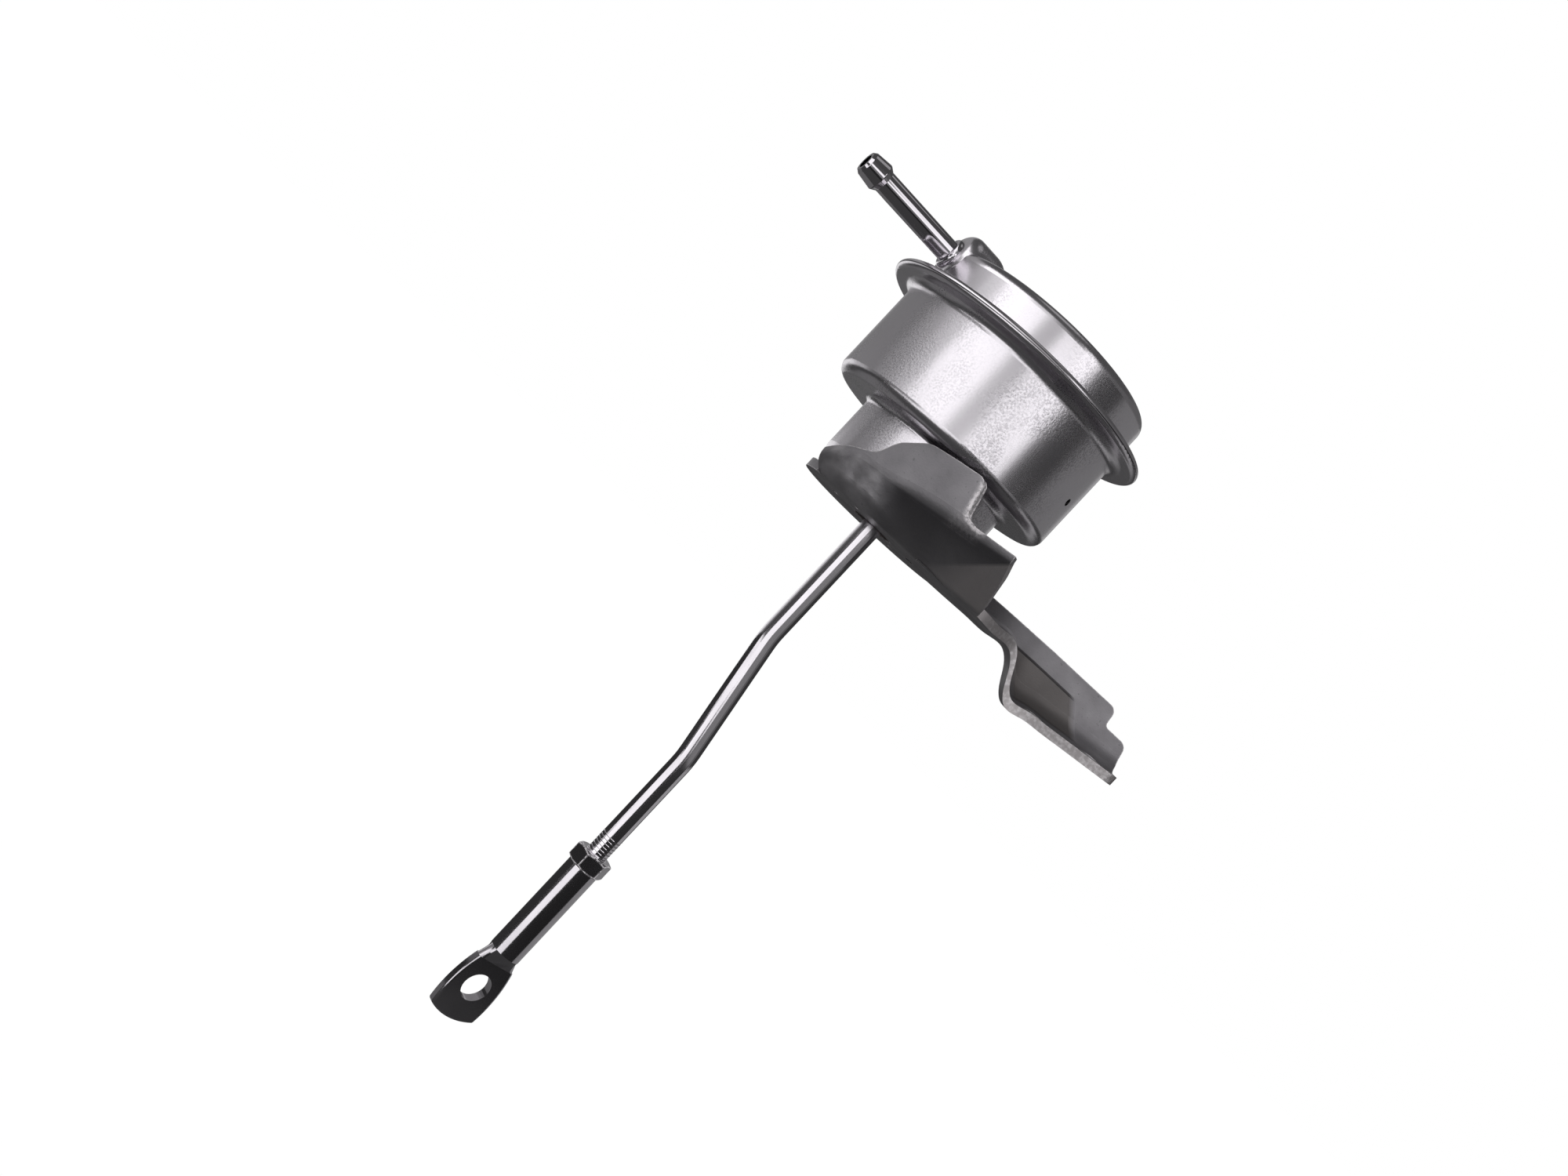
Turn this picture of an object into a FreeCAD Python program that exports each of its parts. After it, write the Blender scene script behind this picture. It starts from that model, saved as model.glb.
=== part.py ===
import FreeCAD, Part
import math
import os

V = FreeCAD.Vector
UP = V(0, 0, 1)

# Frame: +Z along the canister axis, cap up and rod down, arm towards +X.
# The origin is on the axis, at the underside of the bracket's base plate.

# Running and assembly clearances
run_gap = 0.05            # radial, rod in guide and parts threaded on the rod
fit_gap = 0.10            # radial, pieces assembled inside each other
stop_gap = 0.30           # rivet head to cap with the rod at rest

# Bracket sheet
sheet_t = 2.6

# Drawn shells
shell_t = 0.70            # canister and cap sheet
can_r = 35.6              # large diameter of the can
shoulder_width = 11.85    # step from the large diameter down to the nose
nose_foot_r = 6.5         # bend at the nose's foot
nose_h = 21.8             # nose, from the bracket to the shoulder
shoulder_bend = 3.0
waist_bend = 1.6          # inside corner where nose meets shoulder
can_h = 29.7              # shoulder to the crimped flange
flange_bend = 2.7
flange_width = 7.0        # from the can's wall to the rolled rim
lip_width = 2.2           # width of the lip that is folded over the cap
cap_inset = 0.5           # cap radius below the can's
cap_h = 12.2              # cap's height above the diaphragm's clamped edge
cap_edge_r = 3.0
cap_foot_r = 1.6
vent_d = 2.2
vent_rise = 13.3          # vent above the shoulder
vent_angle = -25.3

# Rubber diaphragm
diaphragm_t = 0.50
leg_gap = 0.40            # diaphragm leg to can wall
roll_depth = 5.1          # depth of the rolled fold below the flange

# Hose nipple
nipple_angle = 200.0      # direction in plan, towards the hose
nipple_drop = 3.2         # nipple's axis below the top of the cap
nipple_d = 6.2
nipple_bore_d = 4.0
nipple_len = 32.8         # from the boss to the tip
nipple_root_len = 4.9     # length inside the boss
barb_d = 8.1
barb_len = 7.0
barb_nose_d = 5.8
boss_r = 8.3              # pressed boss in the cap around the nipple
boss_stand = 0.3          # flat on the boss, outside the cap's wall
boss_len = 16.5
boss_edge_r = 3.6
boss_dome_r = 7.4
collar_t = 1.3
collar_d = 9.0

# Piston group
roll_gap = 7.6            # cup's wall to can's wall, room for the rolled fold
cup_t = 1.2
cup_depth = 9.0
cup_bend = 2.5
plate_inset = 4.0         # plate radius below the cup's
plate_t = 1.2
plate_rim_h = 0.8
washer_t = 1.0
washer_inset = 5.3        # washers inside the spring
spigot_d = 5.0            # riveted end of the rod
head_d = 9.0
head_t = 1.9

# Return spring and its seat
wire_d = 2.6
coil_inset = 9.15         # mean radius of the coils below the nose's
coil_turns = 6.0
seat_t = 1.0
seat_lip_h = 3.0

# Guide bush in the nose
guide_bore_wall = 2.4
guide_inset = 2.3         # guide's flange inside the spring
guide_flange_t = 1.6
guide_h = 11.7            # above the nose's floor
guide_foot = 1.8          # below the nose's underside

# Rod
rod_d = 6.0
rod_offset = 6.0          # sideways jog towards the arm
jog_drop = 40.0           # start of the jog below the base
jog_len = 39.0
jog_bend = 32.0
rod_thread_len = 61.0     # straight lower length of the rod

# Lock nut and rod end
nut_af = 10.0
nut_h = 5.0
nut_drop = 34.5           # nut below the jog
nut_turn = -17.0
tube_d = 9.3
tube_len = 30.5
press_len = 4.0           # shoulder where the round tube turns flat
eye_w = 15.8
eye_shoulder_w = 12.6
eye_tip_w = 15.2
eye_t = 3.0
eye_edge_r = 0.7
eye_corner_r = 0.8
eye_tip_bulge = 1.75      # the rounded end stands out between its corners
eye_hole_d = 8.4
eye_hole_drop = 8.0       # hole below the pressed shoulder
eye_tip = 11.0            # from the hole to the end of the eye
eye_angle = 37.0          # turn of the flat face about the rod

# Bracket
base_lip = 0.25           # base radius beyond the nose's
base_inset = 5.2          # flat part of the base inside the near-side bend
rod_hole_d = 13.0
dimple_d = 3.0
dimple_depth = 0.35
dimple_circle = 13.4
lug_dir = -32.0           # direction of the apron's edge in plan
lug_gap = 3.45            # lug's outer face beyond the nose
lug_gap_below = 0.5       # lug's top edge below the can's shoulder
lug_bend = 2.2
lug_root_z = 11.6         # top edge where lug and hugging wall meet
lug_width = 31.0
notch_z = 13.9            # bottom of the notch beside the lug
apron_rise = 9.9          # underside height at the bend line beside the nose
apron_climb = 0.055       # rise of the bend line along the lug
apron_run = 19.0
apron_bend = 9.0
apron_len = 66.0
apron_end_x = 35.0
apron_end_y = -17.0
apron_corner_x = 27.6
apron_corner_y = -53.4
ease_start = 6.0          # where the steep wall starts to lean out into the apron
ease_end = 30.0
wrap_bend = 3.0           # bend at the foot of the wall beside the nose
wrap_angle = 27.0         # plan angle of the wall that hugs the nose
wrap_steps = 4
wrap_end_z = 5.8
wrap_swell = 0.6
wrap_tuck = 0.4
arm_bend = 2.4
arm_near_y = -21.5
arm_waist = 10.5          # how far the near edge draws in at the joggle
pad_waist = 2.5           # and out again at the pad
rear_start_y = 16.5
rear_start_x = 20.0
rear_taper = 0.39
rear_step = 2.6
arm_wall_z = 8.9
arm_root_x = 15.0         # where the rear wall starts to rise
arm_rise_len = 14.0
step_len = 9.0            # low end of the rear wall's top edge
step_z = 3.6
joggle_x = 47.8
joggle_len = 8.5
pad_len = 34.3
pad_drop = 11.4
pad_bend_extra = 3.0      # larger bend between pad and rear wall
pad_rise = 6.2            # slope of the pad along the arm, degrees
pad_tilt = 3.0            # slope of the pad across the arm, degrees
pad_hole_d = 6.6
pad_hole_end = 7.6        # outer hole from the pad's end
pad_hole_pitch = 18.0
pad_hole_inset = 7.0      # holes from the pad's near edge
pad_corner_r = 3.0

# Sizes that follow from the ones above
nose_r = can_r - shoulder_width
shoulder_z = sheet_t + nose_h
flange_z = shoulder_z + can_h
rim_r = can_r + flange_width
cap_r = can_r - cap_inset
cap_flange_z = flange_z + shell_t + diaphragm_t
cap_top_z = cap_flange_z + cap_h
hem_z = cap_flange_z + 2.0 * shell_t
hem_r = (hem_z - flange_z) / 2.0
floor_z = sheet_t + shell_t
nipple_z = cap_top_z - nipple_drop
boss_face_r = cap_r + boss_stand
rod_r = rod_d / 2.0
guide_r = rod_r + run_gap + guide_bore_wall
coil_r = nose_r - coil_inset
washer_r = coil_r - wire_d / 2.0 - washer_inset
guide_flange_r = coil_r - wire_d / 2.0 - guide_inset
cup_r = can_r - roll_gap
plate_r = cup_r - plate_inset
head_top_z = cap_top_z - shell_t - stop_gap
plate_top_z = head_top_z - head_t - washer_t
cup_top_z = plate_top_z - plate_t - diaphragm_t
shoulder_rod_z = cup_top_z - cup_t - washer_t
jog_low_z = -jog_drop - jog_len
nut_top_z = jog_low_z - nut_drop
rod_low_z = jog_low_z - rod_thread_len
base_r = nose_r + base_lip
base_inner_r = base_r - base_inset
lug_dist = nose_r + lug_gap
lug_top_z = shoulder_z - lug_gap_below
wrap_fold_r = nose_r + fit_gap
pad_start_x = joggle_x + joggle_len
pad_end_x = pad_start_x + pad_len
step_x = pad_end_x - step_len
pad_near_y = arm_near_y + arm_waist - pad_waist


def chain(points, radii, closed=False):
    """Edges of a flat chain of points (x, y) with rounded corners."""
    n = len(points)
    pts = [V(p[0], p[1], 0) for p in points]
    starts, ends, arcs = [], [], []
    for i in range(n):
        r = radii[i]
        inner = closed or 0 < i < n - 1
        if not inner or r <= 0:
            starts.append(pts[i])
            ends.append(pts[i])
            arcs.append(None)
            continue
        a = (pts[i - 1] - pts[i]).normalize()
        b = (pts[(i + 1) % n] - pts[i]).normalize()
        half = a.getAngle(b) / 2.0
        cut = r / math.tan(half)
        centre = pts[i] + (a + b).normalize() * (r / math.sin(half))
        middle = centre + (pts[i] - centre).normalize() * r
        starts.append(pts[i] + a * cut)
        ends.append(pts[i] + b * cut)
        arcs.append(middle)
    edges = []
    for i in range(n):
        if arcs[i] is not None:
            edges.append(Part.Arc(starts[i], arcs[i], ends[i]).toShape())
        if i < n - 1 or closed:
            j = (i + 1) % n
            if (starts[j] - ends[i]).Length > 1e-6:
                edges.append(Part.LineSegment(ends[i], starts[j]).toShape())
    return edges


def offset_points(points, radii, t):
    """The chain moved sideways by t to its left, with matching corner radii."""
    moved, new_radii = [], []
    n = len(points)
    for i in range(n):
        dirs = []
        if i > 0:
            d = V(points[i][0] - points[i - 1][0], points[i][1] - points[i - 1][1], 0)
            dirs.append(d.normalize())
        if i < n - 1:
            d = V(points[i + 1][0] - points[i][0], points[i + 1][1] - points[i][1], 0)
            dirs.append(d.normalize())
        normals = [V(-d.y, d.x, 0) for d in dirs]
        mid = normals[0] + normals[-1]
        mid = mid.normalize()
        reach = t / mid.dot(normals[0])
        moved.append((points[i][0] + mid.x * reach, points[i][1] + mid.y * reach))
        turn = dirs[0].cross(dirs[-1]).z
        change = -t if turn > 0 else t
        new_radii.append(max(radii[i] + change, 0.0) if radii[i] > 0 else 0.0)
    return moved, new_radii


def strip(points, radii, t):
    """Closed wire of a bent strip of sheet, t thick to the left of the chain."""
    far, far_radii = offset_points(points, radii, t)
    edges = chain(points, radii)
    back = chain(far[::-1], far_radii[::-1])
    first = V(points[0][0], points[0][1], 0)
    last = V(points[-1][0], points[-1][1], 0)
    far_first = V(far[0][0], far[0][1], 0)
    far_last = V(far[-1][0], far[-1][1], 0)
    edges.append(Part.LineSegment(last, far_last).toShape())
    edges += back
    edges.append(Part.LineSegment(far_first, first).toShape())
    return Part.Wire(edges)


def upright(wire, angle=0.0, place=V(0, 0, 0)):
    """Stand a flat wire up, its x along the given plan direction, its y along Z."""
    turn = FreeCAD.Rotation(UP, angle).multiply(FreeCAD.Rotation(V(1, 0, 0), 90))
    standing = wire.copy()
    standing.Placement = FreeCAD.Placement(place, turn)
    return standing


def turned(points, radii=None):
    """Solid of revolution about Z from a closed outline of (radius, z) points."""
    radii = radii or [0] * len(points)
    wire = Part.Wire(chain(points, radii, closed=True))
    return Part.Face(upright(wire)).revolve(V(0, 0, 0), UP, 360)


def drawn(points, radii, t):
    """Drawn sheet shell: a bent strip (radius, z) turned about Z."""
    return Part.Face(upright(strip(points, radii, t))).revolve(V(0, 0, 0), UP, 360)


def bar(radius, z0, z1, x=0.0, y=0.0):
    """Upright cylinder between two heights."""
    return Part.makeCylinder(radius, z1 - z0, V(x, y, z0))


def prism(points, radii, z0, z1):
    """Upright prism on a rounded outline in plan."""
    wire = Part.Wire(chain(points, radii, closed=True))
    wire.translate(V(0, 0, z0))
    return Part.Face(wire).extrude(V(0, 0, z1 - z0))


def lower_can():
    """Stepped drawn can; its rim is folded over the cap's flange."""
    fold = hem_r - 0.01
    points = [(guide_r + fit_gap, sheet_t), (nose_r, sheet_t), (nose_r, shoulder_z),
              (can_r, shoulder_z), (can_r, flange_z), (rim_r, flange_z),
              (rim_r, hem_z), (rim_r - lip_width, hem_z)]
    radii = [0, nose_foot_r, waist_bend, shoulder_bend, flange_bend, fold, fold, 0]
    shell = drawn(points, radii, shell_t)
    a = math.radians(vent_angle)
    out = V(math.cos(a), math.sin(a), 0)
    start = out * (can_r - 5 * shell_t) + V(0, 0, shoulder_z + vent_rise)
    vent = Part.makeCylinder(vent_d / 2.0, 10 * shell_t, start, out)
    return shell.cut(vent)


def nipple_axis():
    """Unit vector from the canister axis towards the nipple's tip."""
    a = math.radians(nipple_angle)
    return V(math.cos(a), math.sin(a), 0)


def boss(grow):
    """Round-shouldered boss about the nipple's axis; grow < 0 gives its hollow."""
    r = boss_r + grow
    inner = boss_face_r - boss_len - grow
    face = boss_face_r + grow
    wire = Part.Wire(chain([(0, inner), (r, inner), (r, face), (0, face)],
                           [0, boss_dome_r + grow, boss_edge_r + grow, 0], closed=True))
    body = Part.Face(upright(wire)).revolve(V(0, 0, 0), UP, 360)
    turn = FreeCAD.Rotation(UP, nipple_axis())
    body.Placement = FreeCAD.Placement(V(0, 0, nipple_z), turn)
    return body


def cap():
    """Pressed cap: flanged cover with a boss raised at its edge."""
    flange_r = rim_r - hem_r
    t = shell_t
    outer = turned([(0, cap_flange_z), (cap_r, cap_flange_z), (cap_r, cap_top_z),
                    (0, cap_top_z)], [0, 0, cap_edge_r, 0])
    inner = turned([(0, cap_flange_z - 1), (cap_r - t, cap_flange_z - 1),
                    (cap_r - t, cap_top_z - t), (0, cap_top_z - t)],
                   [0, 0, cap_edge_r - t, 0])
    above = bar(rim_r, cap_flange_z, cap_top_z + boss_r)
    body = outer.fuse(boss(0.0).common(above)).removeSplitter()
    body = body.cut(inner).cut(boss(-t).common(above))
    ring = drawn([(cap_r, cap_flange_z + t + cap_foot_r + 0.4),
                  (cap_r, cap_flange_z + t), (flange_r, cap_flange_z + t)],
                 [0, cap_foot_r, 0], -t)
    ring = ring.cut(bar(cap_r - t, cap_flange_z - 1, cap_top_z))
    body = body.fuse(ring).removeSplitter()
    out = nipple_axis()
    hole = Part.makeCylinder(nipple_d / 2.0 + run_gap, 3 * nipple_root_len,
                             out * (boss_face_r - nipple_root_len) + V(0, 0, nipple_z), out)
    return body.cut(hole)


def hose_nipple():
    """Steel hose tube with a rolled barb and a collar brazed to the boss."""
    r = nipple_d / 2.0
    b = barb_d / 2.0
    bore = nipple_bore_d / 2.0
    face = boss_face_r
    tip = face + nipple_len
    back = tip - barb_len
    root = face - nipple_root_len
    points = [(bore, root), (r, root), (r, face),
              (collar_d / 2.0, face), (collar_d / 2.0, face + collar_t),
              (r, face + collar_t), (r, back), (b, back + (b - r) * 1.6),
              (barb_nose_d / 2.0 + 0.6, tip - 0.8),
              (barb_nose_d / 2.0, tip), (bore, tip)]
    radii = [0, 0, 0, 0, collar_t * 0.8, 0, 0, 0.8, 0.3, 0, 0]
    solid = turned(points, radii)
    turn = FreeCAD.Rotation(UP, nipple_axis())
    solid.Placement = FreeCAD.Placement(V(0, 0, nipple_z), turn)
    return solid


def diaphragm():
    """Rolling diaphragm: clamped rim, one folded leg, flat centre on the piston."""
    inner_leg = cup_r + fit_gap
    outer_leg = can_r - shell_t - leg_gap
    fold = (outer_leg - inner_leg) / 2.0 - 0.01
    clamp_z = flange_z + shell_t
    roll_z = flange_z - roll_depth
    points = [(spigot_d / 2.0 + fit_gap, cup_top_z), (inner_leg, cup_top_z),
              (inner_leg, roll_z), (outer_leg, roll_z), (outer_leg, clamp_z),
              (rim_r - hem_r, clamp_z)]
    radii = [0, cup_bend + fit_gap, fold, fold, flange_bend + shell_t + leg_gap, 0]
    return drawn(points, radii, diaphragm_t)


def piston_cup():
    """Pressed cup that carries the diaphragm and takes the spring inside."""
    t = cup_t
    points = [(spigot_d / 2.0 + run_gap, cup_top_z), (cup_r, cup_top_z),
              (cup_r, cup_top_z - cup_depth)]
    return drawn(points, [0, cup_bend, 0], -t)


def piston_plate():
    """Retaining plate on top of the diaphragm, its edge turned up."""
    points = [(spigot_d / 2.0 + run_gap, plate_top_z - plate_t),
              (plate_r, plate_top_z - plate_t), (plate_r, plate_top_z + plate_rim_h)]
    return drawn(points, [0, plate_t + 0.5, 0], plate_t)


def head_washer():
    """Washer under the riveted head."""
    return turned([(spigot_d / 2.0 + run_gap, plate_top_z), (washer_r, plate_top_z),
                   (washer_r, plate_top_z + washer_t),
                   (spigot_d / 2.0 + run_gap, plate_top_z + washer_t)])


def backing_washer():
    """Washer between the rod's shoulder and the cup."""
    top = cup_top_z - cup_t
    return turned([(spigot_d / 2.0 + run_gap, top - washer_t), (washer_r, top - washer_t),
                   (washer_r, top), (spigot_d / 2.0 + run_gap, top)])


def spring_seat():
    """Dished washer that centres the spring on the nose's floor."""
    inner = guide_flange_r + fit_gap
    lip_r = coil_r + wire_d / 2.0 + fit_gap
    points = [(inner, floor_z), (lip_r + seat_t, floor_z),
              (lip_r + seat_t, floor_z + seat_lip_h)]
    return drawn(points, [0, seat_t + 0.4, 0], seat_t)


def return_spring():
    """Compression spring with ends that lie flat on seat and cup."""
    low = floor_z + seat_t
    high = cup_top_z - cup_t
    r = wire_d / 2.0
    pitch = (high - low - wire_d) / (coil_turns - 1.0)
    path = Part.makeHelix(pitch, pitch * coil_turns, coil_r)
    path.translate(V(0, 0, low + r - pitch / 2.0))
    ring = Part.Wire(Part.makeCircle(r, V(coil_r, 0, low + r - pitch / 2.0), V(0, 1, 0)))
    coil = Part.Wire(path.Edges).makePipeShell([ring], True, True)
    slab = bar(coil_r + wire_d, low, high)
    return coil.common(slab)


def rod_guide():
    """Flanged guide bush that rests on the nose's floor."""
    bore = rod_r + run_gap
    top = floor_z + guide_flange_t
    foot = sheet_t - guide_foot
    points = [(bore, foot), (guide_r, foot), (guide_r, floor_z),
              (guide_flange_r, floor_z), (guide_flange_r, top),
              (guide_r + 0.5 * guide_bore_wall, top), (guide_r, floor_z + guide_h),
              (bore, floor_z + guide_h)]
    return turned(points, [0, 0.4, 0, 0, 0.5, 1.0, 0.8, 0])


def rod():
    """Push rod: riveted spigot, straight guide length, sideways jog, plain lower end."""
    points = [(0, shoulder_rod_z), (0, -jog_drop), (rod_offset, jog_low_z),
              (rod_offset, rod_low_z)]
    path = upright(Part.Wire(chain(points, [0, jog_bend, jog_bend, 0])))
    ring = Part.Wire(Part.makeCircle(rod_r, V(0, 0, shoulder_rod_z), UP))
    body = path.makePipeShell([ring], True, False)
    spigot = bar(spigot_d / 2.0, shoulder_rod_z, head_top_z - head_t / 2.0)
    low = head_top_z - head_t
    head = turned([(0, low), (head_d / 2.0, low), (head_d / 2.0, low + 0.6),
                   (head_d / 2.0 - 1.6, head_top_z), (0, head_top_z)], [0, 0, 0.5, 1.2, 0])
    tip = turned([(0, rod_low_z - 1), (rod_r - 0.9, rod_low_z - 1), (rod_r, rod_low_z),
                  (0, rod_low_z)])
    tip.translate(V(rod_offset, 0, 0))
    return body.fuse([spigot, head, tip]).removeSplitter()


def lock_nut():
    """Hexagon nut, chamfered on both faces."""
    across = nut_af / math.sqrt(3.0)
    corners = []
    for i in range(6):
        a = math.radians(60 * i + nut_turn - 90)
        corners.append((across * math.cos(a), across * math.sin(a)))
    body = prism(corners, [0] * 6, nut_top_z - nut_h, nut_top_z)
    flat = nut_af / 2.0 * 0.95
    slope = (across - flat) * 0.55
    envelope = turned([(0, nut_top_z - nut_h), (flat, nut_top_z - nut_h),
                       (across + 0.01, nut_top_z - nut_h + slope),
                       (across + 0.01, nut_top_z - slope), (flat, nut_top_z),
                       (0, nut_top_z)])
    body = body.common(envelope)
    body = body.cut(bar(rod_r + run_gap, nut_top_z - nut_h - 1, nut_top_z + 1))
    body.translate(V(rod_offset, 0, 0))
    return body


def rod_end():
    """Tubular rod end, its lower part pressed into a flat eye."""
    top = nut_top_z - nut_h
    low = top - tube_len
    flat_z = low - press_len
    eye_hole_z = flat_z - eye_hole_drop
    end_z = eye_hole_z - eye_tip
    w = eye_w / 2.0
    shoulder = eye_shoulder_w / 2.0
    tip = eye_tip_w / 2.0
    h = eye_t / 2.0
    e = h * 0.9
    ring = Part.Wire(Part.makeCircle(tube_d / 2.0, V(0, 0, low), UP))
    corners = [(-shoulder, -h), (shoulder, -h), (shoulder, h), (-shoulder, h)]
    pressed = Part.Wire(chain(corners, [e] * 4, closed=True))
    pressed.translate(V(0, 0, flat_z))
    neck = Part.makeLoft([ring, pressed], True)
    knee = end_z + eye_tip_bulge
    right = Part.Arc(V(shoulder, flat_z, 0), V(w, eye_hole_z, 0), V(tip, knee, 0))
    left = Part.Arc(V(-tip, knee, 0), V(-w, eye_hole_z, 0), V(-shoulder, flat_z, 0))
    foot = Part.Arc(V(tip, knee, 0), V(0, end_z, 0), V(-tip, knee, 0))
    back = Part.LineSegment(V(-shoulder, flat_z, 0), V(shoulder, flat_z, 0)).toShape()
    wire = Part.Wire([right.toShape(), foot.toShape(), left.toShape(), back])
    plate = Part.Face(upright(wire, 0, V(0, h, 0))).extrude(V(0, -eye_t, 0))
    tips = [x for x in plate.Edges if x.BoundBox.YLength > h
            and abs(x.BoundBox.ZMin - knee) < 0.01]
    plate = plate.makeFillet(eye_corner_r, tips)
    rims = [x for x in plate.Edges if x.BoundBox.YLength < 1e-4
            and x.BoundBox.ZMin < flat_z - 0.5]
    plate = plate.makeFillet(eye_edge_r, rims)
    body = bar(tube_d / 2.0, low, top).fuse([neck, plate]).removeSplitter()
    body = body.cut(bar(rod_r + run_gap, rod_low_z - 2.0, top + 1))
    hole = Part.makeCylinder(eye_hole_d / 2.0, 2 * eye_w, V(0, -eye_w, eye_hole_z),
                             V(0, 1, 0))
    body = body.cut(hole)
    body.rotate(V(0, 0, 0), UP, eye_angle)
    body.translate(V(rod_offset, 0, 0))
    return body


def smooth(a, b, x):
    """Smooth step from 0 at a to 1 at b."""
    k = min(max((x - a) / (b - a), 0.0), 1.0)
    return k * k * (3.0 - 2.0 * k)


def arm_section(x):
    """Strip across the arm at x: the plate and its upturned rear wall."""
    drop = smooth(joggle_x, pad_start_x, x)
    rise = max(x - pad_start_x, 0.0) * math.tan(math.radians(pad_rise))
    low = -pad_drop * drop + rise
    waist_x = joggle_x + 0.25 * joggle_len
    near = arm_near_y + arm_waist * smooth(apron_end_x - 1.0, waist_x, x)
    near -= pad_waist * smooth(waist_x, waist_x + 1.2 * joggle_len, x)
    far = rear_y(x)
    lift = math.tan(math.radians(pad_tilt)) * drop * (far - near)
    bend = arm_bend + sheet_t + pad_bend_extra * drop
    points = [(near, low), (far, low + lift), (far, arm_wall_z)]
    return upright(strip(points, [0, bend, 0], sheet_t), 90, V(x, 0, 0))


def rear_y(x):
    """Outer face of the rear wall at x."""
    bend_x = joggle_x - 0.2 * joggle_len
    run = rear_start_y - rear_taper * (min(x, bend_x) - rear_start_x)
    run -= rear_step * smooth(bend_x, bend_x + 1.6 * joggle_len, x)
    return run - 0.35 * rear_step * smooth(bend_x + 1.6 * joggle_len, pad_end_x, x)


def arm_side_view():
    """Side outline that trims the rear wall: sloped start, step and rounded end."""
    end = pad_end_x
    low = -3.0 * pad_drop
    start = arm_root_x - 2 * sheet_t
    outline = [(start, low), (start, 0.5 * sheet_t), (arm_root_x, sheet_t),
               (arm_root_x + arm_rise_len, arm_wall_z),
               (step_x - 0.25 * sheet_t, arm_wall_z), (step_x, step_z),
               (end - 0.5 * sheet_t, step_z), (end, -sheet_t),
               (end - 0.15 * sheet_t, low)]
    radii = [0, 0, 2.3 * sheet_t, 3 * sheet_t, 0.9 * sheet_t, 0.5 * sheet_t, sheet_t,
             sheet_t, 0]
    wire = Part.Wire(chain(outline, radii, closed=True))
    return Part.Face(upright(wire, 0, V(0, pad_end_x, 0))).extrude(V(0, -2 * pad_end_x, 0))


def bracket_arm():
    """Arm: L-shaped strip that steps down to the mounting pad."""
    before = [joggle_x * k / 8.0 for k in range(8)]
    across = [joggle_x + joggle_len * k / 3.0 for k in range(4)]
    after = [pad_start_x + (pad_end_x + sheet_t - pad_start_x) * k / 7.0
             for k in range(1, 8)]
    arm = Part.makeLoft([arm_section(x) for x in before + across + after], True)
    start = arm_root_x - 0.5 * sheet_t
    plan = [(start, 3 * arm_near_y), (step_x, 3 * arm_near_y), (step_x, pad_near_y),
            (pad_end_x, pad_near_y), (pad_end_x, 3 * rear_start_y),
            (start, 3 * rear_start_y)]
    tip = prism(plan, [0, 0, 0, pad_corner_r, 0, 0], -3 * pad_drop, 3 * pad_drop)
    return arm.common(tip).common(arm_side_view())


def apron_section(fold, out_r, crease, top, bend, start):
    """Strip across base, sloped apron and upright lug, before it is placed."""
    points = [(start, 0), (fold, 0), (out_r, crease), (out_r, top)]
    return strip(points, [0, bend + sheet_t, lug_bend + sheet_t, 0], sheet_t)


def crease_z(s):
    """Height of the outer bend line at distance s along the lug."""
    return apron_rise + apron_climb * s


def formed_apron():
    """Straight run of apron and lug: steep beside the nose, easing to a slope."""
    a = math.radians(lug_dir)
    along = V(math.cos(a), math.sin(a), 0)
    sections = []
    steps = [ease_end * k / 8.0 for k in range(9)]
    steps += [ease_end + (apron_len - ease_end) * k / 4.0 for k in range(1, 5)]
    start = -0.25 * base_r
    for s in steps:
        ease = smooth(ease_start, ease_end, s)
        fold = wrap_fold_r + (lug_dist - apron_run - wrap_fold_r) * ease
        bend = wrap_bend + (apron_bend - wrap_bend) * ease
        wire = apron_section(fold, lug_dist, crease_z(s), shoulder_z + sheet_t, bend, start)
        sections.append(upright(wire, lug_dir - 90, along * s))
    return Part.makeLoft(sections, True)


def hugging_wall():
    """Wall that carries the lug on round the nose and sinks into the base."""
    sections = []
    for k in range(wrap_steps + 1):
        t = k / float(wrap_steps)
        crease = crease_z(0) * (1.0 - t) + wrap_end_z * 0.62 * t
        top = lug_root_z * (1.0 - t) + wrap_end_z * t + wrap_swell * math.sin(math.pi * t)
        wire = apron_section(wrap_fold_r, lug_dist - wrap_tuck * t, crease, top,
                             wrap_bend, rod_hole_d)
        sections.append(upright(wire, lug_dir - 90 - wrap_angle * t))
    return Part.makeLoft(sections, True)


def lug_trim():
    """Everything the press tool cuts away above and beside the lug."""
    top = lug_top_z
    w = lug_width
    rise = top - lug_root_z
    far = 2.0 * apron_len
    outline = [(-0.03 * w, lug_root_z), (0, lug_root_z),
               (0.084 * w, lug_root_z + 0.1 * rise), (0.18 * w, top - 0.455 * rise),
               (0.403 * w, top - 0.073 * rise), (0.71 * w, top),
               (w, top + 0.049 * rise), (1.084 * w, notch_z + 0.073 * rise),
               (1.226 * w, notch_z), (far, notch_z + 0.047 * (far - 1.226 * w)),
               (far, 3 * top), (-0.03 * w, 3 * top)]
    radii = [0, 0, 0.1 * w, 0.19 * w, 0.26 * w, 0.39 * w, 0.084 * w, 0.065 * w,
             0, 0, 0, 0]
    wire = Part.Wire(chain(outline, radii, closed=True))
    a = math.radians(lug_dir - 90)
    out = V(math.cos(a), math.sin(a), 0)
    face = Part.Face(upright(wire, lug_dir, out * -apron_len))
    return face.extrude(out * 2 * apron_len)


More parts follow.
